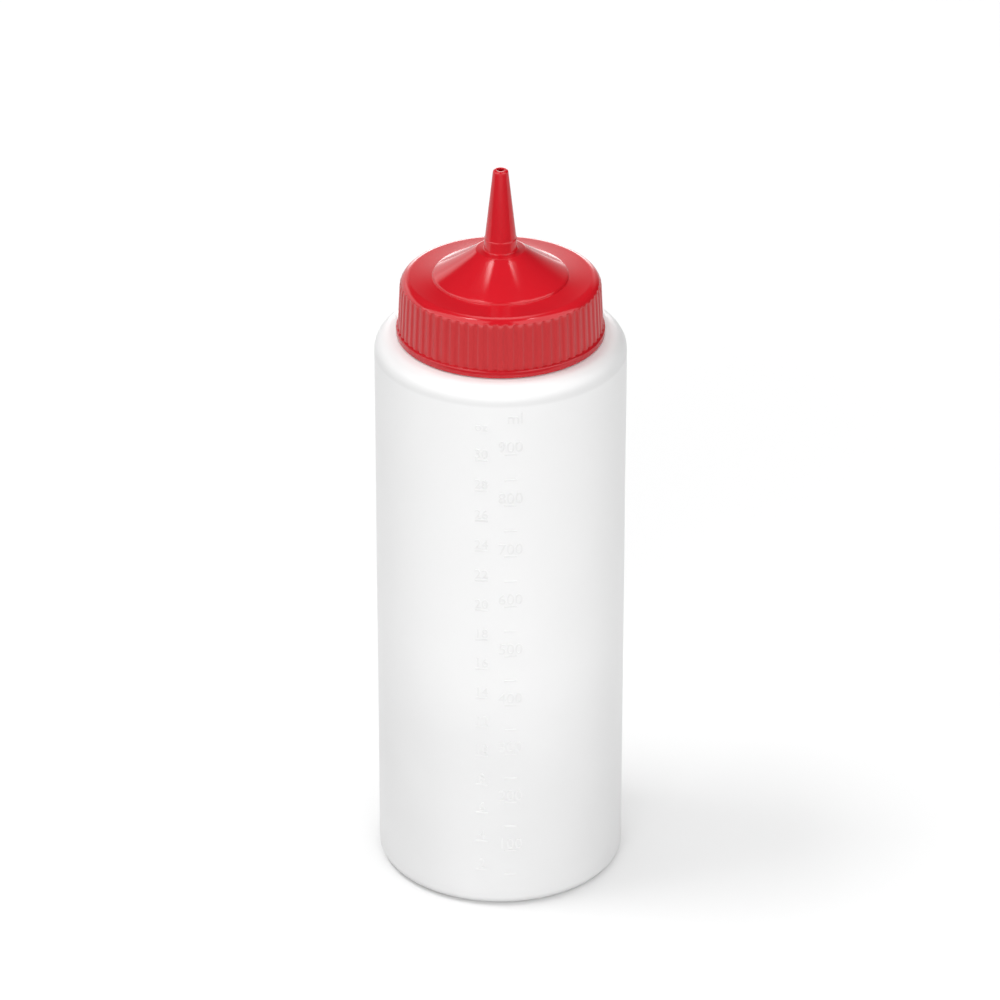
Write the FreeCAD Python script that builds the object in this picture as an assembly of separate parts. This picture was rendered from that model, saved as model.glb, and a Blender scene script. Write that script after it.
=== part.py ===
import FreeCAD, Part
import math
import os

# Wide-mouth squeeze bottle of about 950 ml with a one-piece screw cap and nozzle.
# Millimetres. The Z axis is the axis of the bottle, z = 0 is the surface it stands on, and the
# side that carries the measuring scale faces -Y.

# Driving dimensions of the bottle
BODY_RADIUS = 42.0          # outside of the straight wall
WALL = 1.1                  # side wall, thin enough to squeeze
BASE_WALL = 1.3             # the base is a little thicker than the side
BASE_ROUNDING = 3.7         # heel, where the wall turns into the base
RING_RADIUS = 36.6          # inner edge of the ring that the bottle stands on
PUSH_UP = 2.4               # how far the base is pushed up inside that ring
PUSH_UP_RUN = 2.4           # width of the slope from the ring up to the pushed-up base
BASE_CROWN = 0.8            # the pushed-up base rises this much more to its middle
RING_ROUNDING = 1.2
PUSH_UP_ROUNDING = 2.0
SHOULDER_HEIGHT = 198.4     # flat top of the shoulder
SHOULDER_ROUNDING = 5.8
SHOULDER_WALL = 1.4         # thickness of the flat top

# Driving dimensions of the neck
NECK_RADIUS = 30.2          # outside, without its thread
NECK_WALL = 1.6
NECK_FILLET = 0.8           # where the neck rises from the shoulder, and twice that inside
NECK_HEIGHT = 19.0          # from the shoulder to the lip
LIP_ROUNDING = 0.4

# Driving dimensions of the cap
CAP_GAP = 0.2               # between the shoulder and the cap's lower edge
BEAD_RADIUS = 34.75         # plain band round the lower edge
BEAD_HEIGHT = 2.7
BEAD_SLOPE = 0.3            # its upper face falls this much towards the outside
BEAD_ROUNDING = 0.55
SKIRT_FOOT_RADIUS = 34.1    # over the ribs, just above the band
SKIRT_TOP_RADIUS = 33.4     # over the ribs, where the rim rounding begins
BORE_RADIUS = 31.85         # inside of the skirt, round the threaded neck
RIM_ROUNDING = 3.5
PLATE = 1.6                 # thickness of the cap's top at the rim
RISE_TO_HILL = 0.25         # the top rises this much from the rim to the hill
RIB_COUNT = 64
GROOVE_DEPTH = 0.45
GROOVE_MOUTH = 2.0          # width of the groove between two ribs, at their tops
GROOVE_FLOOR = 1.25         # width at its floor

# Driving dimensions of the hill and the nozzle
HILL_RADIUS = 22.5
HILL_STEP = 0.75            # low wall round the foot of the hill
HILL_ROUNDING = 0.9         # edge above that wall
HILL_FILLET = 0.3           # corner at its foot
HILL_SLOPE = 32.8           # degrees from level
HILL_WALL = 1.5
CREST_RADIUS = 8.2          # where the hill ends in a flat ring round the collar
COLLAR_FOOT_RADIUS = 5.5
COLLAR_TOP_RADIUS = 5.4
COLLAR_TOP = 233.2
COLLAR_LEDGE = 0.2          # small sloping ledge between the collar and the nozzle
NOZZLE_FOOT_RADIUS = 5.2
NOZZLE_TIP_RADIUS = 2.5
TIP_ROUNDING = 0.8
TIP_HEIGHT = 257.7          # overall height of the bottle with its cap
HOLE_RADIUS = 1.2           # the open tip
BORE_FOOT_RADIUS = 4.2      # bore of the nozzle where it opens into the hill
FINE_ROUNDING = 0.4         # corners of the cap that have no size of their own
HOLLOW_ROUNDING = 0.8       # corners inside the hill and round its flat ring

# Derived heights
LIP_HEIGHT = SHOULDER_HEIGHT + NECK_HEIGHT
CAP_FOOT = SHOULDER_HEIGHT + CAP_GAP
BEAD_TOP = CAP_FOOT + BEAD_HEIGHT
RIM_HEIGHT = LIP_HEIGHT + PLATE
HILL_FOOT = RIM_HEIGHT + RISE_TO_HILL


def point(radius, height):
    return FreeCAD.Vector(radius, 0, height)


def rounding_points(before, corner, after, rounding):
    """Ends and middle of the arc that rounds a corner between two straight edges."""
    to_before = (before - corner).normalize()
    to_after = (after - corner).normalize()
    half_angle = to_before.getAngle(to_after) / 2
    reach = rounding / math.tan(half_angle)
    to_centre = (to_before + to_after).normalize()
    middle = corner + to_centre * (rounding / math.sin(half_angle) - rounding)
    return corner + to_before * reach, middle, corner + to_after * reach


def turned_solid(corners):
    """Turn a closed outline round the Z axis. A corner is (radius, height, rounding)."""
    places = [point(radius, height) for radius, height, rounding in corners]
    ends = []
    edges = []
    for i, (radius, height, rounding) in enumerate(corners):
        if rounding == 0:
            ends.append((places[i], places[i]))
            continue
        after = places[(i + 1) % len(places)]
        start, middle, end = rounding_points(places[i - 1], places[i], after, rounding)
        edges.append(Part.Arc(start, middle, end).toShape())
        ends.append((start, end))
    for i, (start, end) in enumerate(ends):
        next_start = ends[(i + 1) % len(ends)][0]
        edges.append(Part.LineSegment(end, next_start).toShape())
    outline = Part.Wire(Part.sortEdges(edges)[0])
    return Part.Face(outline).revolve(FreeCAD.Vector(0, 0, 0), FreeCAD.Vector(0, 0, 1), 360)


def make_bottle():
    """Thin blown body: pushed-up base, straight wall, round shoulder and open neck."""
    slope_top = RING_RADIUS - PUSH_UP_RUN
    inner_wall = BODY_RADIUS - WALL
    inner_neck = NECK_RADIUS - NECK_WALL
    shoulder_underside = SHOULDER_HEIGHT - SHOULDER_WALL
    return turned_solid([
        (0, PUSH_UP + BASE_CROWN, 0),
        (slope_top, PUSH_UP, PUSH_UP_ROUNDING),
        (RING_RADIUS, 0, RING_ROUNDING),
        (BODY_RADIUS, 0, BASE_ROUNDING),
        (BODY_RADIUS, SHOULDER_HEIGHT, SHOULDER_ROUNDING),
        (NECK_RADIUS, SHOULDER_HEIGHT, NECK_FILLET),
        (NECK_RADIUS, LIP_HEIGHT, LIP_ROUNDING),
        (inner_neck, LIP_HEIGHT, LIP_ROUNDING),
        (inner_neck, shoulder_underside, 2 * NECK_FILLET),
        (inner_wall, shoulder_underside, SHOULDER_ROUNDING - WALL),
        (inner_wall, BASE_WALL, BASE_ROUNDING - WALL),
        (RING_RADIUS + BASE_WALL / 2, BASE_WALL, RING_ROUNDING),
        (slope_top + BASE_WALL / 2, PUSH_UP + BASE_WALL, PUSH_UP_ROUNDING),
        (0, PUSH_UP + BASE_CROWN + BASE_WALL, 0),
    ])


def skirt_radius(height):
    """Radius over the ribs, which narrows evenly from the band to the rim."""
    rim_start = RIM_HEIGHT - RIM_ROUNDING
    share = (height - BEAD_TOP) / (rim_start - BEAD_TOP)
    return SKIRT_FOOT_RADIUS + share * (SKIRT_TOP_RADIUS - SKIRT_FOOT_RADIUS)


def make_cap_blank():
    """The moulding before its ribs: skirt, band, rim, hill, flat ring, collar and hollow nozzle."""
    slope = math.tan(math.radians(HILL_SLOPE))
    hill_shoulder = HILL_FOOT + HILL_STEP
    crest = hill_shoulder + (HILL_RADIUS - CREST_RADIUS) * slope
    crest_underside = crest - HILL_WALL
    drop = HILL_WALL / math.cos(math.radians(HILL_SLOPE))
    inner_crest_radius = CREST_RADIUS + (HILL_WALL - drop) / slope
    hollow_radius = inner_crest_radius + (crest_underside - LIP_HEIGHT) / slope
    return turned_solid([
        (HOLE_RADIUS, TIP_HEIGHT, 0),
        (NOZZLE_TIP_RADIUS, TIP_HEIGHT, TIP_ROUNDING),
        (NOZZLE_FOOT_RADIUS, COLLAR_TOP + COLLAR_LEDGE, 0),
        (COLLAR_TOP_RADIUS, COLLAR_TOP, 0),
        (COLLAR_FOOT_RADIUS, crest, FINE_ROUNDING),
        (CREST_RADIUS, crest, HOLLOW_ROUNDING),
        (HILL_RADIUS, hill_shoulder, HILL_ROUNDING),
        (HILL_RADIUS, HILL_FOOT, HILL_FILLET),
        (skirt_radius(RIM_HEIGHT), RIM_HEIGHT, RIM_ROUNDING),
        (SKIRT_FOOT_RADIUS, BEAD_TOP, 0),
        (BEAD_RADIUS, BEAD_TOP - BEAD_SLOPE, BEAD_ROUNDING),
        (BEAD_RADIUS, CAP_FOOT, BEAD_ROUNDING),
        (BORE_RADIUS, CAP_FOOT, FINE_ROUNDING),
        (BORE_RADIUS, LIP_HEIGHT, FINE_ROUNDING),
        (hollow_radius, LIP_HEIGHT, HOLLOW_ROUNDING),
        (inner_crest_radius, crest_underside, HOLLOW_ROUNDING),
        (BORE_FOOT_RADIUS, crest_underside, HOLLOW_ROUNDING),
    ])


def make_groove():
    """Cutter for one groove. It follows the skirt's taper and runs out in the rim rounding."""
    outside = 1.0               # how far the cutter stands out of the skirt
    flare = (GROOVE_MOUTH - GROOVE_FLOOR) / 2 / GROOVE_DEPTH
    floor_x = SKIRT_FOOT_RADIUS - GROOVE_DEPTH
    mouth_x = SKIRT_FOOT_RADIUS + outside
    half_floor = GROOVE_FLOOR / 2
    half_mouth = half_floor + flare * (mouth_x - floor_x)
    section = [
        FreeCAD.Vector(floor_x, -half_floor, BEAD_TOP),
        FreeCAD.Vector(mouth_x, -half_mouth, BEAD_TOP),
        FreeCAD.Vector(mouth_x, half_mouth, BEAD_TOP),
        FreeCAD.Vector(floor_x, half_floor, BEAD_TOP),
    ]
    face = Part.Face(Part.makePolygon(section + section[:1]))
    taper = skirt_radius(RIM_HEIGHT) - skirt_radius(BEAD_TOP)
    return face.extrude(FreeCAD.Vector(taper, 0, RIM_HEIGHT - BEAD_TOP))


def make_cap():
    """Cap with its finger grip: grooves cut all round leave the ribs between them."""
    step = 360.0 / RIB_COUNT
    grooves = []
    for i in range(RIB_COUNT):
        groove = make_groove()
        groove.rotate(FreeCAD.Vector(0, 0, 0), FreeCAD.Vector(0, 0, 1), (i + 0.5) * step)
        grooves.append(groove)
    return make_cap_blank().cut(Part.makeCompound(grooves))


def main():
    os.makedirs("parts", exist_ok=True)
    for name, shape in (("bottle", make_bottle()), ("cap", make_cap())):
        solid = shape.Solids[0]
        print(name, "valid", solid.isValid(), "solids", len(shape.Solids), "cm3", round(solid.Volume / 1000, 2))
        solid.exportStep("parts/" + name + ".step")


main()
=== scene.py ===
import math

import bmesh
import bpy
from bpy.props import FloatProperty, FloatVectorProperty, IntProperty, PointerProperty
from mathutils import Matrix, Vector, noise


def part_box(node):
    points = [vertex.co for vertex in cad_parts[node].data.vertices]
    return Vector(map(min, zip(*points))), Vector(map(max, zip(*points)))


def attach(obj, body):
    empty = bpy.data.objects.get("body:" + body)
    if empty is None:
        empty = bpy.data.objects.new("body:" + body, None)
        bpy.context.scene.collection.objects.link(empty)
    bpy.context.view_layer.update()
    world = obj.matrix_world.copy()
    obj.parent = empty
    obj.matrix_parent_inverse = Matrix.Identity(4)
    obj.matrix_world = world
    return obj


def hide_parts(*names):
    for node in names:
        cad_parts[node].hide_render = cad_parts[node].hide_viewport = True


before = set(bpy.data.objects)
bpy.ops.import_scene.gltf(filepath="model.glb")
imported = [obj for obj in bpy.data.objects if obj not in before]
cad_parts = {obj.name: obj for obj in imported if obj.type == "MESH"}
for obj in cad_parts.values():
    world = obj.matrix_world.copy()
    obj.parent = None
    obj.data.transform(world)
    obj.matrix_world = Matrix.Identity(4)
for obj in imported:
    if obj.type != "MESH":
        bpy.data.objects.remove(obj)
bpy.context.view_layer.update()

bl_info = {
    "name": "Squeeze bottle",
    "version": (1, 0, 0),
    "blender": (4, 5, 0),
    "location": "3D View > Sidebar > Squeeze bottle",
    "description": "Wide-mouth squeeze bottle with a ribbed one-piece nozzle cap",
    "category": "Object",
}

MM = 0.001
FLUID_OUNCE = 29.5735          # millilitres
NECK_HEIGHT = 19.0 * MM        # from the shoulder to the lip
SHOULDER_WALL = 1.4 * MM       # thickness of the flat top of the shoulder
RING_ROUNDING = 1.2 * MM       # inner edge of the ring that the bottle stands on
PUSH_UP_ROUNDING = 2.0 * MM    # where that ring's slope meets the pushed-up base
NECK_FILLET = 0.8 * MM         # where the neck rises from the shoulder
INNER_NECK_FILLET = 1.5 * MM
LIP_ROUNDING = 0.4 * MM
RISE_TO_HILL = 0.25 * MM       # how much the cap's top rises from the rim to the hill
NOZZLE_BORE = 4.2 * MM         # radius of the bore where it opens into the hill
HOLLOW_ROUNDING = 0.8 * MM     # corners inside the hill and round its flat ring
SAG_ROUNDING = 150 * MM        # how gently the hill's slope bends
COLLAR_LEDGE = 0.2 * MM        # small sloping ledge between the collar and the nozzle
COLLAR_TAPER = 0.1 * MM        # the collar is this much narrower at its top
BAND_SLOPE = 0.3 * MM          # the band's upper face falls this much towards the outside
FIGURE_GAP = 0.9 * MM          # between a mark and the figure above it
FIGURE_SHARE = 0.7             # height of a figure in the font, as a share of the font's size
FOOT_SHADE_FADE = (95 * MM, 48 * MM) # heights between which the painted shade at the bottle's foot sets in
TOUCH = 0.01 * MM              # closer than this counts as touching
BOTTLE_LOW, BOTTLE_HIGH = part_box("bottle")
CAP_LOW, CAP_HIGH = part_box("cap")


# ---------------------------------------------------------------- sizes and colours

def length(name, description, default):
    return FloatProperty(
        name=name, description=description, default=default, unit="LENGTH", subtype="DISTANCE")


def colour(name, description, default):
    return FloatVectorProperty(
        name=name, description=description, default=default, size=3, min=0, max=1, subtype="COLOR")


class BottleSizes(bpy.types.PropertyGroup):
    """Sizes of the blown bottle."""
    radius: length("Radius", "Outside of the straight wall", BOTTLE_HIGH.x)
    lip: length("Lip height", "Top of the neck", BOTTLE_HIGH.z)
    shoulder: length("Shoulder height", "Flat top of the shoulder", BOTTLE_HIGH.z - NECK_HEIGHT)
    shoulder_rounding: length("Shoulder rounding", "Radius of the shoulder's edge", 5.8 * MM)
    wall: length("Wall", "Thickness of the side", 1.1 * MM)
    base_wall: length("Base wall", "Thickness of the base", 1.3 * MM)
    heel: length("Heel rounding", "Radius where the side turns into the base", 3.7 * MM)
    ring: length("Standing ring", "Inner edge of the ring that it stands on", 36.6 * MM)
    push_up: length("Push-up", "Height of the hollow under the base", 2.4 * MM)
    crown: length("Crown", "Further rise of the base to its middle", 0.8 * MM)
    neck: length("Neck radius", "Outside of the neck without its thread", 30.2 * MM)
    neck_wall: length("Neck wall", "Thickness of the neck", 1.6 * MM)
    waviness: length("Waviness", "How far the blown wall strays from true", 0.12 * MM)


class CapSizes(bpy.types.PropertyGroup):
    """Sizes of the screw cap with its nozzle."""
    foot: length("Foot", "Lower edge of the skirt", CAP_LOW.z)
    band: length("Band radius", "Plain band round the lower edge", CAP_HIGH.x)
    band_height: length("Band height", "Height of the plain band", 2.7 * MM)
    skirt_foot: length("Skirt foot radius", "Over the ribs, above the band", 34.1 * MM)
    skirt_top: length("Skirt top radius", "Over the ribs, below the rim", 33.4 * MM)
    bore: length("Bore", "Inside of the skirt", 31.85 * MM)
    rim_rounding: length("Rim rounding", "Radius of the cap's upper edge", 3.5 * MM)
    plate: length("Top plate", "Thickness of the cap's top", 1.6 * MM)
    ribs: IntProperty(name="Ribs", description="Number of grip ribs", default=64, min=8, max=200)
    groove: length("Groove depth", "Depth between two ribs", 0.45 * MM)
    hill: length("Hill radius", "Foot of the cone under the nozzle", 22.5 * MM)
    hill_step: length("Hill step", "Low wall round the foot of the hill", 0.75 * MM)
    hill_slope: FloatProperty(
        name="Hill slope", description="Slope from level", default=math.radians(32.8),
        subtype="ANGLE", unit="ROTATION")
    hill_wall: length("Hill wall", "Thickness of the hill", 1.5 * MM)
    hill_sag: length("Hill sag", "How far the middle of the slope hangs below a straight line", 0.47 * MM)
    crest: length("Crest radius", "Flat ring in which the hill ends", 8.2 * MM)
    collar: length("Collar radius", "Short cylinder that carries the nozzle", 5.5 * MM)
    collar_top: length("Collar top", "Height of the collar's upper edge", 233.2 * MM)
    nozzle: length("Nozzle foot radius", "Nozzle where it leaves the collar", 5.2 * MM)
    tip: length("Tip radius", "Nozzle at its open end", 2.5 * MM)
    hole: length("Hole radius", "Opening in the tip", 1.2 * MM)


class ScaleSizes(bpy.types.PropertyGroup):
    """Sizes of the moulded measuring scale."""
    relief: length("Relief", "How far the marks stand proud", 0.22 * MM)
    figure: length("Figure height", "Height of the numbers", 3.9 * MM)
    tick: length("Tick length", "Length of one mark", 4.2 * MM)
    tick_width: length("Tick width", "Width of one mark", 0.55 * MM)
    metric_side: length("Millilitre column", "Place of the column round the front", 3.3 * MM)
    ounce_side: length("Ounce column", "Place of the column round the front", -6.4 * MM)


class Finishes(bpy.types.PropertyGroup):
    """Colours of the two plastics."""
    bottle: colour("Bottle", "Natural low-density polyethylene", (0.985, 0.985, 0.985))
    cap: colour("Cap", "Red polyethylene", (0.568, 0.0095, 0.0175))


class StageSettings(bpy.types.PropertyGroup):
    """Floor, lamps and camera."""
    pitch: FloatProperty(
        name="Pitch", description="Camera's angle below level", default=math.radians(28.3),
        subtype="ANGLE", unit="ROTATION")
    distance: length("Distance", "From the camera to the bottle's axis", 1.8729)
    aim: length("Aim height", "Height on the axis that the camera looks at", 0.1351)
    aside: length("Aside", "How far the camera stands beside the bottle's axis", -0.2 * MM)
    lens: FloatProperty(name="Lens", description="Focal length in millimetres", default=199.94)
    floor: FloatProperty(
        name="Floor", description="Grey level of the studio floor", default=0.87, min=0, max=1)


# ---------------------------------------------------------------- meshes

def corner_reach(before, corner, after, rounding):
    """Distance from a corner to the ends of the arc that rounds it."""
    half = (before - corner).angle(after - corner) / 2
    return rounding / math.tan(half)


def outline(corners):
    """A closed outline in the XZ plane. A corner is (radius, height, rounding, segments)."""
    bm = bmesh.new()
    places = [Vector((radius, 0, height)) for radius, height, rounding, segments in corners]
    verts = [bm.verts.new(place) for place in places]
    for i, vert in enumerate(verts):
        if places[i].x > 0 or places[i - 1].x > 0:
            bm.edges.new((verts[i - 1], vert))
    for i, (radius, height, rounding, segments) in enumerate(corners):
        if rounding > 0:
            reach = corner_reach(places[i - 1], places[i], places[(i + 1) % len(places)], rounding)
            bmesh.ops.bevel(
                bm, geom=[verts[i]], affect="VERTICES", offset=reach, offset_type="OFFSET",
                segments=segments, profile=0.5, material=-1)
    return bm


def turn(bm, angle, steps, closed=False):
    """Turn the outline round the Z axis."""
    bmesh.ops.spin(
        bm, geom=bm.verts[:] + bm.edges[:], cent=(0, 0, 0), axis=(0, 0, 1), dvec=(0, 0, 0),
        angle=angle, steps=steps, use_merge=closed, use_normal_flip=False, use_duplicate=False)


def repeat_round(bm, count):
    """Repeat a sector until it fills the whole turn."""
    bmesh.ops.spin(
        bm, geom=bm.verts[:] + bm.edges[:] + bm.faces[:], cent=(0, 0, 0), axis=(0, 0, 1), dvec=(0, 0, 0),
        angle=2 * math.pi * (count - 1) / count, steps=count - 1, use_merge=False, use_normal_flip=False,
        use_duplicate=True)


def close_mesh(bm):
    """Join what meets at seams and poles, and point the faces outwards."""
    bmesh.ops.remove_doubles(bm, verts=bm.verts[:], dist=1e-6)
    bmesh.ops.recalc_face_normals(bm, faces=bm.faces[:])


def divide_wall(bm, low, high, cuts):
    """Divide the outline's upright edges between two heights."""
    tall = [
        edge for edge in bm.edges
        if abs(edge.verts[0].co.z - edge.verts[1].co.z) > (high - low) / 2
        and min(vert.co.z for vert in edge.verts) >= low - MM
        and max(vert.co.z for vert in edge.verts) <= high + MM]
    bmesh.ops.subdivide_edges(bm, edges=tall, cuts=cuts)


def radius_of(place):
    return math.hypot(place.x, place.y)


def angle_of(place):
    """Angle round the Z axis, from the front towards +X."""
    return math.atan2(place.x, -place.y)


def push_out(vert, distance):
    """Move a vertex away from the Z axis."""
    radius = radius_of(vert.co)
    share = (radius + distance) / radius
    vert.co.x *= share
    vert.co.y *= share


def wrap_round(bm, radius):
    """Bend what lies flat on the XZ plane round the Z axis. Depth towards -Y becomes relief."""
    for vert in bm.verts:
        angle = vert.co.x / radius
        reach = radius - vert.co.y
        vert.co = Vector((reach * math.sin(angle), -reach * math.cos(angle), vert.co.z))


def piece_from(bm, name, material, replaced=(), sharp=math.radians(35)):
    """Make the finished object, which rides on the bottle and takes the given material."""
    mesh = bpy.data.meshes.new(name)
    bm.to_mesh(mesh)
    bm.free()
    mesh.materials.append(material)
    mesh.shade_smooth()
    mesh.set_sharp_from_angle(angle=sharp)
    piece = bpy.data.objects.new(name, mesh)
    bpy.context.scene.collection.objects.link(piece)
    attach(piece, "root")
    if replaced:
        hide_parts(*replaced)
    return piece


# ---------------------------------------------------------------- materials

def new_group(name, inputs, outputs):
    """An empty shader node group. Inputs are (name, socket type, default)."""
    group = bpy.data.node_groups.new(name, "ShaderNodeTree")
    for label, kind, default in inputs:
        socket = group.interface.new_socket(name=label, in_out="INPUT", socket_type=kind)
        if default is not None:
            socket.default_value = default
    for label in outputs:
        group.interface.new_socket(name=label, in_out="OUTPUT", socket_type="NodeSocketFloat")
    return group, group.nodes.new("NodeGroupInput"), group.nodes.new("NodeGroupOutput")


def feed(tree, value, socket):
    """Set a socket to a number, or link an output to it."""
    if isinstance(value, (int, float)):
        socket.default_value = value
    else:
        tree.links.new(value, socket)


def add_noise(tree, vector, scale, detail, roughness=0.5):
    node = tree.nodes.new("ShaderNodeTexNoise")
    node.inputs["Detail"].default_value = detail
    node.inputs["Roughness"].default_value = roughness
    tree.links.new(vector, node.inputs["Vector"])
    feed(tree, scale, node.inputs["Scale"])
    return node.outputs["Fac"]


def add_math(tree, operation, first, *others):
    """Chain one operation over several numbers or outputs."""
    for other in others:
        node = tree.nodes.new("ShaderNodeMath")
        node.operation = operation
        feed(tree, first, node.inputs[0])
        feed(tree, other, node.inputs[1])
        first = node.outputs[0]
    return first


def add_range(tree, value, low, high):
    """Spread a mask between two values."""
    node = tree.nodes.new("ShaderNodeMapRange")
    node.inputs["From Min"].default_value = 0.3
    node.inputs["From Max"].default_value = 0.7
    node.inputs["To Min"].default_value = low
    node.inputs["To Max"].default_value = high
    tree.links.new(value, node.inputs["Value"])
    return node.outputs["Result"]


def add_step(tree, value, start, end):
    """A mask that rises smoothly from 0 to 1 between two values."""
    node = tree.nodes.new("ShaderNodeMapRange")
    node.interpolation_type = "SMOOTHSTEP"
    node.inputs["From Min"].default_value = start
    node.inputs["From Max"].default_value = end
    tree.links.new(value, node.inputs["Value"])
    return node.outputs["Result"]


def add_window(tree, value, low, high, soft):
    """A mask that is 1 between two values, with soft edges."""
    rise = add_step(tree, value, low - soft, low + soft)
    fall = add_step(tree, value, high + soft, high - soft)
    return add_math(tree, "MULTIPLY", rise, fall)


def add_place(tree, kind="Object"):
    """Coordinates of the shaded point."""
    return tree.nodes.new("ShaderNodeTexCoord").outputs[kind]


def add_axes(tree, place):
    """Coordinates apart, as outputs X, Y and Z."""
    node = tree.nodes.new("ShaderNodeSeparateXYZ")
    tree.links.new(place, node.inputs["Vector"])
    return node.outputs


def tint_where(tree, shader, mask, tint):
    """Lay another tint over the base colour where the mask is 1."""
    base = shader.inputs["Base Color"]
    mix = tree.nodes.new("ShaderNodeMix")
    mix.data_type = "RGBA"
    mix.inputs["B"].default_value = (*tint, 1)
    tree.links.new(mask, mix.inputs["Factor"])
    tree.links.new(base.links[0].from_socket, mix.inputs["A"])
    tree.links.new(mix.outputs["Result"], base)


def moulded_surface():
    """Skin of a moulded plastic: fine grain over slow flow marks, and faint handling scuffs."""
    group, given, result = new_group(
        "Moulded surface",
        [("Vector", "NodeSocketVector", None), ("Grain Scale", "NodeSocketFloat", 1500.0),
         ("Flow Scale", "NodeSocketFloat", 60.0), ("Grain Height", "NodeSocketFloat", 0.2)],
        ["Height", "Gloss", "Clouding"])
    grain = add_noise(group, given.outputs["Vector"], given.outputs["Grain Scale"], 2)
    flow = add_noise(group, given.outputs["Vector"], given.outputs["Flow Scale"], 2)
    stretch = group.nodes.new("ShaderNodeMapping")
    stretch.inputs["Scale"].default_value = (1.0, 1.0, 0.12)
    group.links.new(given.outputs["Vector"], stretch.inputs["Vector"])
    scuffs = add_noise(group, stretch.outputs["Vector"], given.outputs["Grain Scale"], 3, 0.7)
    fine = add_math(group, "MULTIPLY", grain, given.outputs["Grain Height"])
    group.links.new(add_math(group, "ADD", fine, flow), result.inputs["Height"])
    group.links.new(add_math(group, "MULTIPLY", scuffs, flow), result.inputs["Gloss"])
    group.links.new(flow, result.inputs["Clouding"])
    return group


def plastic(name, tint, deep_tint, rough, bump, ior, clear, skin_values):
    """A moulded plastic whose colour, gloss and relief come from the moulded surface."""
    material = bpy.data.materials.new(name)
    material.use_nodes = True
    tree = material.node_tree
    shader = tree.nodes["Principled BSDF"]
    shader.inputs["IOR"].default_value = ior
    shader.inputs["Transmission Weight"].default_value = clear
    skin = tree.nodes.new("ShaderNodeGroup")
    skin.node_tree = bpy.data.node_groups.get("Moulded surface") or moulded_surface()
    for label, value in skin_values.items():
        skin.inputs[label].default_value = value
    tree.links.new(add_place(tree), skin.inputs["Vector"])
    mix = tree.nodes.new("ShaderNodeMix")
    mix.data_type = "RGBA"
    mix.inputs["A"].default_value = (*tint, 1)
    mix.inputs["B"].default_value = (*deep_tint, 1)
    tree.links.new(add_range(tree, skin.outputs["Clouding"], 0.0, 1.0), mix.inputs["Factor"])
    tree.links.new(mix.outputs["Result"], shader.inputs["Base Color"])
    gloss = add_range(tree, skin.outputs["Gloss"], *rough)
    tree.links.new(gloss, shader.inputs["Roughness"])
    relief = tree.nodes.new("ShaderNodeBump")
    relief.inputs["Strength"].default_value = 1.0
    relief.inputs["Distance"].default_value = bump
    tree.links.new(skin.outputs["Height"], relief.inputs["Height"])
    tree.links.new(relief.outputs["Normal"], shader.inputs["Normal"])
    return material, tree, shader


def shade(tint, share):
    return tuple(channel * share for channel in tint)


def milky_plastic(name, tint):
    """Milky polyethylene, which lets a little light through."""
    return plastic(
        name, tint, deep_tint=shade(tint, 0.985), rough=(0.3, 0.34), bump=0.02 * MM,
        ior=1.51, clear=0.12,
        skin_values={"Grain Scale": 1400.0, "Flow Scale": 45.0, "Grain Height": 0.3})


def bottle_plastic():
    """Outer skin of the bottle, with painted shade: darker in patches towards its foot, and darker at the
    edge of the shoulder.
    """
    tint = bpy.context.scene.finishes.bottle
    shoulder = bpy.context.scene.bottle_sizes.shoulder
    material, tree, shader = milky_plastic("milky_plastic", tint)
    place = add_place(tree)
    height = add_axes(tree, place)["Z"]
    # Painted shade: patchy darkening towards the foot, and a band of it on the shoulder's edge.
    shade_patches = add_range(tree, add_noise(tree, place, scale=28.0, detail=1), 0.6, 1.0)
    foot = add_math(tree, "MULTIPLY", add_step(tree, height, *FOOT_SHADE_FADE), shade_patches)
    edge = add_window(tree, height, shoulder - 6.5 * MM, shoulder - 0.5 * MM, soft=0.7 * MM)
    painted_shade = add_math(tree, "MAXIMUM", foot, add_math(tree, "MULTIPLY", edge, 0.85))
    tint_where(tree, shader, painted_shade, shade(tint, 0.9))
    return material


def mark_plastic():
    """The raised marks, painted a little darker than the wall as shade, and a touch lighter near the foot.
    """
    # Painted shade: the marks are painted darker than the bottle's white.
    tint = shade(bpy.context.scene.finishes.bottle, 0.945)
    material, tree, shader = milky_plastic("mark_plastic", tint)
    height = add_axes(tree, add_place(tree))["Z"]
    tint_where(tree, shader, add_step(tree, height, *FOOT_SHADE_FADE), shade(tint, 1.01))
    return material


def inner_plastic():
    """Inner skin of the same wall, clearer than the outer one."""
    tint = bpy.context.scene.finishes.bottle
    material, tree, shader = plastic(
        "inner_skin", shade(tint, 1.01), deep_tint=tint, rough=(0.14, 0.16), bump=0.02 * MM,
        ior=1.51, clear=1.0,
        skin_values={"Grain Scale": 900.0, "Flow Scale": 45.0, "Grain Height": 0.3})
    return material


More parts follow.
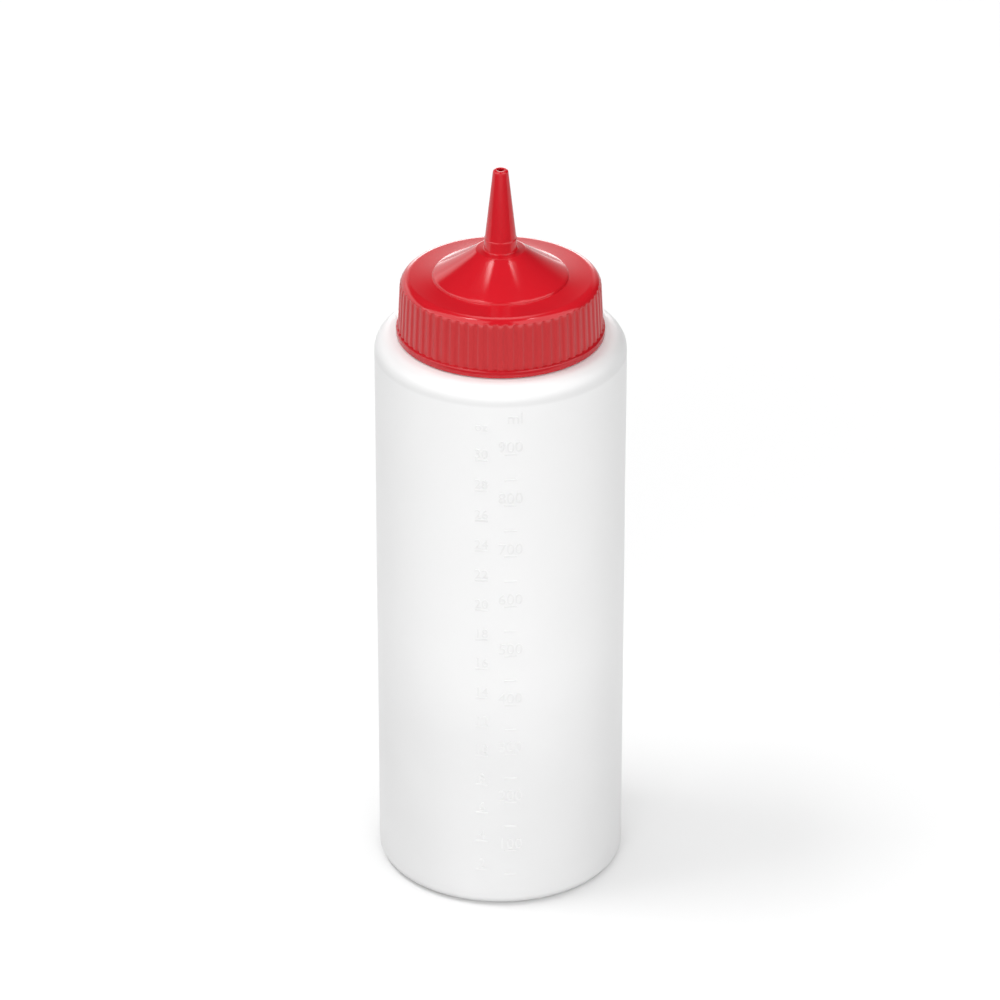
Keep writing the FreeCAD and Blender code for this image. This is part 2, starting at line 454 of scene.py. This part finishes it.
def cap_plastic():
    """Glossy red polyethylene with a matt grip. Painted shade and sheen turn the grip a paler, less red
    tint, and painted shade turns the band below it a deeper red.
    """
    tint = bpy.context.scene.finishes.cap
    size = bpy.context.scene.cap_sizes
    material, tree, shader = plastic(
        "red_plastic", tint, deep_tint=shade(tint, 0.95), rough=(0.1, 0.17), bump=0.012 * MM,
        ior=1.5, clear=0.0,
        skin_values={"Grain Scale": 2200.0, "Flow Scale": 90.0, "Grain Height": 0.25})
    height = add_axes(tree, add_place(tree))["Z"]
    low = size.foot + size.band_height
    high = rim_height() - size.rim_rounding / 2
    above = add_step(tree, height, low - 0.2 * MM, low + 0.2 * MM)
    below = add_step(tree, height, high + 0.4 * MM, high - 0.4 * MM)
    grip = add_math(tree, "MULTIPLY", above, below)
    rough = shader.inputs["Roughness"]
    matt = add_math(tree, "MULTIPLY", grip, 0.2)
    tree.links.new(add_math(tree, "ADD", rough.links[0].from_socket, matt), rough)
    # Painted shade and sheen: the grip is painted a paler, less red tint.
    tint_where(tree, shader, grip, (0.92 * tint[0], tint[1] + 0.02, tint[2] + 0.016))
    # Painted shade: the band under the grip is painted a deeper red.
    band = add_step(tree, height, low + 0.2 * MM, low - 0.2 * MM)
    tint_where(tree, shader, band, shade(tint, 0.84))
    return material


# ---------------------------------------------------------------- operators

class SQUEEZE_OT_bottle(bpy.types.Operator):
    """Turn the blown bottle with its pushed-up base, round shoulder and open neck"""
    bl_idname = "squeeze.bottle"
    bl_label = "Bottle"

    steps = 192
    wall_cuts = 35
    drift_around = 1.6             # how fast the unevenness changes, round the wall and upwards
    drift_upwards = 22

    def execute(self, context):
        size = context.scene.bottle_sizes
        slope_top = size.ring - size.push_up
        inner_wall = size.radius - size.wall
        inner_neck = size.neck - size.neck_wall
        underside = size.shoulder - SHOULDER_WALL
        edge = size.base_wall / 2
        bm = outline([
            (0, size.push_up + size.crown, 0, 0),
            (slope_top, size.push_up, PUSH_UP_ROUNDING, 4),
            (size.ring, 0, RING_ROUNDING, 4),
            (size.radius, 0, size.heel, 8),
            (size.radius, size.shoulder, size.shoulder_rounding, 14),
            (size.neck, size.shoulder, NECK_FILLET, 3),
            (size.neck, size.lip, LIP_ROUNDING, 3),
            (inner_neck, size.lip, LIP_ROUNDING, 3),
            (inner_neck, underside, INNER_NECK_FILLET, 4),
            (inner_wall, underside, size.shoulder_rounding - size.wall, 12),
            (inner_wall, size.base_wall, size.heel - size.wall, 7),
            (size.ring + edge, size.base_wall, RING_ROUNDING, 4),
            (slope_top + edge, size.push_up + size.base_wall, PUSH_UP_ROUNDING, 4),
            (0, size.push_up + size.crown + size.base_wall, 0, 0),
        ])
        divide_wall(bm, 0, size.shoulder, self.wall_cuts)
        turn(bm, 2 * math.pi, self.steps, closed=True)
        close_mesh(bm)
        self.stray(bm, size)
        self.mark_inner_skin(bm, size)
        shell = piece_from(bm, "bottle_shell", bottle_plastic(), ["bottle"])
        shell.data.materials.append(inner_plastic())
        return {"FINISHED"}

    def mark_inner_skin(self, bm, size):
        """Faces that look into the hollow take the second material."""
        middle = size.shoulder / 2
        for face in bm.faces:
            centre = face.calc_center_median()
            towards = Vector((-centre.x, -centre.y, (middle - centre.z) * 0.2))
            under = centre.z < middle and face.normal.z < -0.1
            if face.normal.dot(towards) > 0 and centre.z > size.base_wall * 0.9 and not under:
                face.material_index = 1

    def stray(self, bm, size):
        """Give the blown wall its slight unevenness, fading out at the heel and the shoulder."""
        for vert in bm.verts:
            height = vert.co.z / size.shoulder
            if radius_of(vert.co) > size.radius - 2 * size.wall and 0 < height < 1:
                fade = math.sin(math.pi * height) ** 0.5
                around = vert.co.xy.normalized() * self.drift_around
                drift = noise.noise(Vector((around.x, around.y, vert.co.z * self.drift_upwards)))
                push_out(vert, (drift - 0.5) * size.waviness * fade)


class SQUEEZE_OT_scale(bpy.types.Operator):
    """Raise the millilitre and ounce marks on the front of the bottle"""
    bl_idname = "squeeze.scale"
    bl_label = "Measuring scale"

    millilitres = range(50, 901, 50)
    ounces = range(2, 31, 2)
    ounce_figure = 0.85            # share of the millilitre figures' height
    units = (                      # words, column, shift, place in millilitres, share of the height
        ("ml", "metric_side", 1.5 * MM, 960, 1.0),
        ("oz", "ounce_side", 0.0, 945, 0.8),
    )

    def height_of(self, millilitres):
        """Level of the contents above the surface that the bottle stands on."""
        size = bpy.context.scene.bottle_sizes
        inner = size.radius - size.wall
        lost = size.push_up * (size.ring / inner) ** 2
        return size.base_wall + lost + millilitres * MM ** 2 / (math.pi * inner ** 2)

    def add_tick(self, bm, across, up):
        size = bpy.context.scene.scale_sizes
        bar = bmesh.new()
        bmesh.ops.create_cube(bar, size=1.0)
        bmesh.ops.scale(bar, vec=(size.tick, 2 * size.relief, size.tick_width), verts=bar.verts[:])
        bmesh.ops.bevel(
            bar, geom=bar.edges[:], affect="EDGES", offset=0.08 * MM, segments=2, profile=0.5, material=-1)
        bmesh.ops.translate(bar, vec=(across, 0, up), verts=bar.verts[:])
        self.join(bm, bar)

    def add_figure(self, bm, words, across, up, height):
        """Text as a thin raised solid, centred on a place."""
        size = bpy.context.scene.scale_sizes
        curve = bpy.data.curves.new("figure", "FONT")
        curve.body = words
        curve.align_x = "CENTER"
        curve.size = height / FIGURE_SHARE
        curve.resolution_u = 3
        curve.extrude = size.relief
        holder = bpy.data.objects.new("figure", curve)
        bpy.context.scene.collection.objects.link(holder)
        bpy.context.view_layer.update()
        flat = bpy.data.meshes.new_from_object(holder)
        bpy.data.objects.remove(holder)
        bpy.data.curves.remove(curve)
        text = bmesh.new()
        text.from_mesh(flat)
        bpy.data.meshes.remove(flat)
        bmesh.ops.remove_doubles(text, verts=text.verts[:], dist=1e-6)
        upright = Matrix.Rotation(math.pi / 2, 3, "X")
        bmesh.ops.rotate(text, cent=(0, 0, 0), matrix=upright, verts=text.verts[:])
        bmesh.ops.translate(text, vec=(across, 0, up), verts=text.verts[:])
        self.join(bm, text)

    def join(self, bm, other):
        mesh = bpy.data.meshes.new("part")
        other.to_mesh(mesh)
        other.free()
        bm.from_mesh(mesh)
        bpy.data.meshes.remove(mesh)

    def execute(self, context):
        size = context.scene.scale_sizes
        bm = bmesh.new()
        for mark in self.millilitres:
            level = self.height_of(mark)
            self.add_tick(bm, size.metric_side, level)
            if mark % 100 == 0:
                self.add_figure(bm, str(mark), size.metric_side, level + FIGURE_GAP, size.figure)
        for mark in self.ounces:
            level = self.height_of(mark * FLUID_OUNCE)
            self.add_tick(bm, size.ounce_side, level)
            self.add_figure(
                bm, str(mark), size.ounce_side, level + FIGURE_GAP, size.figure * self.ounce_figure)
        for words, column, shift, mark, share in self.units:
            across = getattr(size, column) + shift
            self.add_figure(bm, words, across, self.height_of(mark), size.figure * share)
        wrap_round(bm, context.scene.bottle_sizes.radius)
        piece_from(bm, "scale_marks", mark_plastic())
        return {"FINISHED"}


class SQUEEZE_OT_cap(bpy.types.Operator):
    """Turn the cap with its hill, collar and hollow nozzle, and cut the grip grooves"""
    bl_idname = "squeeze.cap"
    bl_label = "Cap and nozzle"

    steps_per_rib = 12

    def execute(self, context):
        size = context.scene.cap_sizes
        lip = context.scene.bottle_sizes.lip
        rim = rim_height()
        band_top = size.foot + size.band_height
        hill_foot = rim + RISE_TO_HILL
        slope = math.tan(size.hill_slope)
        shoulder = hill_foot + size.hill_step
        crest = shoulder + (size.hill - size.crest) * slope
        underside = crest - size.hill_wall
        inner_crest = size.crest + size.hill_wall * (1 - 1 / math.cos(size.hill_slope)) / slope
        waist = (size.hill + size.crest) / 2
        waist_height = (crest + shoulder) / 2 - size.hill_sag
        bm = outline([
            (size.hole, CAP_HIGH.z, 0.15 * MM, 2),
            (size.tip, CAP_HIGH.z, 0.8 * MM, 5),
            (size.nozzle, size.collar_top + COLLAR_LEDGE, 0.4 * MM, 3),
            (size.collar - COLLAR_TAPER, size.collar_top, 0.12 * MM, 3),
            (size.collar, crest, 0.4 * MM, 4),
            (size.crest, crest, HOLLOW_ROUNDING, 4),
            (waist, waist_height, SAG_ROUNDING, 10),
            (size.hill, shoulder, 0.9 * MM, 6),
            (size.hill, hill_foot, 0.3 * MM, 3),
            (skirt_radius(rim), rim, size.rim_rounding, 14),
            (size.skirt_foot, band_top, 0, 0),
            (size.band, band_top - BAND_SLOPE, 0.5 * MM, 4),
            (size.band, size.foot, 0.6 * MM, 4),
            (size.bore, size.foot, 0.4 * MM, 3),
            (size.bore, lip, 0.5 * MM, 3),
            (inner_crest + (underside - lip) / slope, lip, HOLLOW_ROUNDING, 3),
            (inner_crest, underside, HOLLOW_ROUNDING, 3),
            (NOZZLE_BORE, underside, HOLLOW_ROUNDING, 4),
        ])
        turn(bm, 2 * math.pi / size.ribs, self.steps_per_rib)
        self.cut_groove(bm, size, band_top)
        repeat_round(bm, size.ribs)
        close_mesh(bm)
        piece_from(bm, "cap_moulding", cap_plastic(), ["cap"], math.radians(50))
        return {"FINISHED"}

    def cut_groove(self, bm, size, band_top):
        """Sink one groove, which follows the skirt's taper and runs out in the rim rounding."""
        pitch = 2 * math.pi / size.ribs
        for vert in bm.verts:
            radius = radius_of(vert.co)
            on_skirt = size.bore + 0.5 * MM < radius < size.skirt_foot + TOUCH
            if on_skirt and band_top - TOUCH < vert.co.z < rim_height():
                phase = (angle_of(vert.co) - math.pi / 2) / pitch
                floor = skirt_radius(vert.co.z) - size.groove * groove_shape(phase)
                push_out(vert, min(0, floor - radius))


def rim_height():
    """Level of the cap's top at its rim."""
    return bpy.context.scene.bottle_sizes.lip + bpy.context.scene.cap_sizes.plate


def skirt_radius(height):
    """Radius over the ribs, which narrows evenly from the band to the rim."""
    size = bpy.context.scene.cap_sizes
    low = size.foot + size.band_height
    high = rim_height() - size.rim_rounding
    share = (height - low) / (high - low)
    return size.skirt_foot + share * (size.skirt_top - size.skirt_foot)


def groove_shape(phase):
    """Depth across one rib pitch, from 0 on the rib to 1 on the groove's floor."""
    crown, flank = 0.35, 0.45      # shares of the wave that the rib's top and its side take
    wave = 0.5 - 0.5 * math.cos(2 * math.pi * phase)
    return min(1.0, max(0.0, (wave - crown) / flank))


class SQUEEZE_OT_stage(bpy.types.Operator):
    """Set the pale floor, the lamps and the camera"""
    bl_idname = "squeeze.stage"
    bl_label = "Stage"

    floor_half = 4.0
    lamps = (                      # name, direction from the cap, distance, sides, watts
        ("key", (-0.45, -0.02, 0.89), 1.5, (0.6, 0.5), 8.4),
        ("front", (0.0, -0.68, 0.16), 0.72, (0.6, 0.3), 1.85),
    )
    strips = (                     # from and to in X, strength
        (-0.38, -0.24, 7.0),
        (0.29, 0.36, 5.5),
    )

    def execute(self, context):
        settings = context.scene.stage_settings
        self.add_floor(settings)
        self.add_world()
        for lamp in self.lamps:
            self.add_lamp(*lamp)
        self.add_camera(settings)
        context.scene.view_settings.view_transform = "Standard"
        return {"FINISHED"}

    def add_floor(self, settings):
        bm = bmesh.new()
        bmesh.ops.create_grid(bm, x_segments=2, y_segments=2, size=self.floor_half)
        mesh = bpy.data.meshes.new("floor")
        bm.to_mesh(mesh)
        bm.free()
        floor = bpy.data.objects.new("floor", mesh)
        bpy.context.scene.collection.objects.link(floor)
        material = bpy.data.materials.new("floor_white")
        material.use_nodes = True
        tree = material.node_tree
        shader = tree.nodes["Principled BSDF"]
        shader.inputs["Roughness"].default_value = 0.9
        shader.inputs["Specular IOR Level"].default_value = 0.0
        shader.inputs["Emission Color"].default_value = (1, 1, 1, 1)
        rays = tree.nodes.new("ShaderNodeLightPath").outputs
        place = add_place(tree)
        tree.links.new(self.floor_level(tree, rays, place, settings.floor), shader.inputs["Base Color"])
        tree.links.new(self.floor_glow(tree, rays, place), shader.inputs["Emission Strength"])
        mesh.materials.append(material)

    def floor_level(self, tree, rays, place, white):
        """Grey level. What the floor bounces at the bottle is darker, most of all beside and in front."""
        axes = add_axes(tree, place)
        bounced = rays["Is Diffuse Ray"]
        aside = add_math(tree, "ABSOLUTE", axes["X"], 0)
        beside = add_math(tree, "MULTIPLY", bounced, add_step(tree, aside, 0.1, 0.35))
        either = add_math(tree, "MAXIMUM", rays["Is Glossy Ray"], bounced)
        front = add_math(tree, "MULTIPLY", either, add_step(tree, axes["Y"], -0.1, -0.4))
        near = add_math(tree, "MULTIPLY", bounced, 0.52)
        darkest = add_math(tree, "MAXIMUM", beside, front, near)
        return add_math(tree, "SUBTRACT", white, add_math(tree, "MULTIPLY", darkest, 0.72))

    def floor_glow(self, tree, rays, place):
        """A trace of light for the eye alone, which keeps the far floor white and leaves the shadow."""
        reach = tree.nodes.new("ShaderNodeVectorMath")
        reach.operation = "LENGTH"
        tree.links.new(place, reach.inputs[0])
        far = add_math(tree, "MULTIPLY", add_step(tree, reach.outputs["Value"], 0.2, 0.75), 0.1)
        glow = add_math(tree, "ADD", far, 0.04)
        return add_math(tree, "MULTIPLY", self.seen_directly(tree, rays), glow)

    def seen_directly(self, tree, rays):
        return add_math(tree, "MAXIMUM", rays["Is Camera Ray"], rays["Is Transmission Ray"])

    def add_world(self):
        """White to the eye. The object is lit by a soft sky and mirrors a studio with a dark ceiling."""
        world = bpy.data.worlds.new("studio")
        bpy.context.scene.world = world
        world.use_nodes = True
        tree = world.node_tree
        background = tree.nodes["Background"]
        background.inputs["Color"].default_value = (1, 1, 1, 1)
        rays = tree.nodes.new("ShaderNodeLightPath").outputs
        axes = add_axes(tree, add_place(tree, "Generated"))
        lit, mirrored = self.soft_sky(tree, *axes), self.mirrored_studio(tree, *axes)
        level = self.choose(tree, rays["Is Glossy Ray"], lit, mirrored)
        level = self.choose(tree, self.seen_directly(tree, rays), level, 1.0)
        tree.links.new(level, background.inputs["Strength"])

    def soft_sky(self, tree, x, y, z):
        """Light from above, more of it from behind, with low panels in front, behind and at the sides."""
        overhead = add_math(tree, "ADD", add_step(tree, y, -0.35, 0.45), 0.5)
        above = add_math(tree, "MULTIPLY", add_math(tree, "POWER", z, 2.0), overhead)
        lit = add_math(tree, "ADD", above, 0.1)
        low = add_step(tree, z, 0.6, 0.1)
        front = add_math(tree, "MULTIPLY", add_step(tree, y, -0.12, -0.85), low)
        back = add_math(tree, "MULTIPLY", add_step(tree, y, 0.2, 0.9), low)
        right = add_step(tree, x, 0.0, 0.8)
        left = add_step(tree, x, 0.0, -0.8)
        for panel, strength in ((front, 1.8), (right, 0.42), (left, 0.15), (back, 0.6)):
            lit = add_math(tree, "ADD", lit, add_math(tree, "MULTIPLY", panel, strength))
        return lit

    def mirrored_studio(self, tree, x, y, z):
        """What gloss shows: a pale wall, soft boxes at both sides in front, and strips overhead."""
        aside = add_math(tree, "ABSOLUTE", x, 0)
        behind = add_step(tree, y, -0.1, 0.2)
        pale = add_math(tree, "ADD", add_step(tree, z, 0.52, 0.32), 0.03)
        far_right = add_step(tree, add_math(tree, "MULTIPLY", behind, x), 0.62, 0.1)
        level = add_math(tree, "MULTIPLY", pale, far_right)
        wall = add_math(
            tree, "MULTIPLY", behind, add_step(tree, z, 0.3, 0.18), add_step(tree, aside, 0.32, 0.12))
        to_side = add_math(tree, "ADD", aside, add_math(tree, "MULTIPLY", y, 0.29))
        to_front = add_math(tree, "SUBTRACT", y, add_math(tree, "MULTIPLY", aside, 0.17))
        boxes = add_math(
            tree, "MULTIPLY", add_step(tree, to_side, 0.0, 0.06), add_step(tree, to_front, 0.05, -0.05),
            add_window(tree, z, 0.3, 0.93, 0.04))
        rear = add_math(
            tree, "MULTIPLY", add_step(tree, aside, 0.3, 0.1), add_window(tree, y, 0.14, 0.6, 0.06),
            add_step(tree, z, 0.75, 0.85))
        flank = add_math(
            tree, "MULTIPLY", add_window(tree, z, 0.3, 0.46, 0.04), add_step(tree, x, -0.35, -0.5))
        lights = [(wall, 3.8), (boxes, 1.6), (rear, 1.8), (flank, 0.6)]
        ceiling = add_math(
            tree, "MULTIPLY", add_step(tree, z, 0.85, 0.92), add_window(tree, y, -0.16, 0.03, 0.04))
        for low, high, strength in self.strips:
            strip = add_math(tree, "MULTIPLY", ceiling, add_window(tree, x, low, high, 0.03))
            lights.append((strip, strength))
        for light, strength in lights:
            level = add_math(tree, "ADD", level, add_math(tree, "MULTIPLY", light, strength))
        return level

    def choose(self, tree, switch, when_off, when_on):
        node = tree.nodes.new("ShaderNodeMix")
        node.data_type = "FLOAT"
        tree.links.new(switch, node.inputs["Factor"])
        feed(tree, when_off, node.inputs["A"])
        feed(tree, when_on, node.inputs["B"])
        return node.outputs["Result"]

    def add_lamp(self, name, direction, distance, sides, power):
        """A rectangular soft box that faces the cap."""
        light = bpy.data.lights.new(name, "AREA")
        light.shape = "RECTANGLE"
        light.size, light.size_y = sides
        light.energy = power
        lamp = bpy.data.objects.new(name, light)
        lamp.visible_glossy = False
        towards = Vector(direction).normalized()
        lamp.location = Vector((0, 0, CAP_LOW.z)) + towards * distance
        lamp.rotation_euler = towards.to_track_quat("Z", "Y").to_euler()
        bpy.context.scene.collection.objects.link(lamp)

    def add_camera(self, settings):
        data = bpy.data.cameras.new("camera")
        data.lens = settings.lens
        data.sensor_width = 36.0
        data.clip_end = 20.0
        camera = bpy.data.objects.new("camera", data)
        back = Vector((0, -math.cos(settings.pitch), math.sin(settings.pitch)))
        camera.location = Vector((settings.aside, 0, settings.aim)) + back * settings.distance
        camera.rotation_euler = (math.pi / 2 - settings.pitch, 0, 0)
        bpy.context.scene.collection.objects.link(camera)
        bpy.context.scene.camera = camera


class SQUEEZE_PT_panel(bpy.types.Panel):
    """Sizes, colours and steps of the squeeze bottle."""
    bl_idname = "SQUEEZE_PT_panel"
    bl_label = "Squeeze bottle"
    bl_space_type = "VIEW_3D"
    bl_region_type = "UI"
    bl_category = "Squeeze bottle"

    def draw(self, context):
        for name in PROPERTY_GROUPS:
            group = getattr(context.scene, name)
            box = self.layout.box()
            for label in group.__annotations__:
                box.prop(group, label)
        for operator in OPERATORS:
            self.layout.operator(operator.bl_idname)


PROPERTY_GROUPS = {
    "bottle_sizes": BottleSizes,
    "cap_sizes": CapSizes,
    "scale_sizes": ScaleSizes,
    "finishes": Finishes,
    "stage_settings": StageSettings,
}
OPERATORS = (SQUEEZE_OT_bottle, SQUEEZE_OT_scale, SQUEEZE_OT_cap, SQUEEZE_OT_stage)


def register():
    for group in PROPERTY_GROUPS.values():
        bpy.utils.register_class(group)
    for name, group in PROPERTY_GROUPS.items():
        setattr(bpy.types.Scene, name, PointerProperty(type=group))
    for operator in OPERATORS:
        bpy.utils.register_class(operator)
    bpy.utils.register_class(SQUEEZE_PT_panel)


def unregister():
    bpy.utils.unregister_class(SQUEEZE_PT_panel)
    for operator in reversed(OPERATORS):
        bpy.utils.unregister_class(operator)
    for name, group in PROPERTY_GROUPS.items():
        delattr(bpy.types.Scene, name)
        bpy.utils.unregister_class(group)


def main():
    register()
    bpy.ops.squeeze.bottle()
    bpy.ops.squeeze.scale()
    bpy.ops.squeeze.cap()
    bpy.ops.squeeze.stage()


if __name__ == "__main__":
    main()
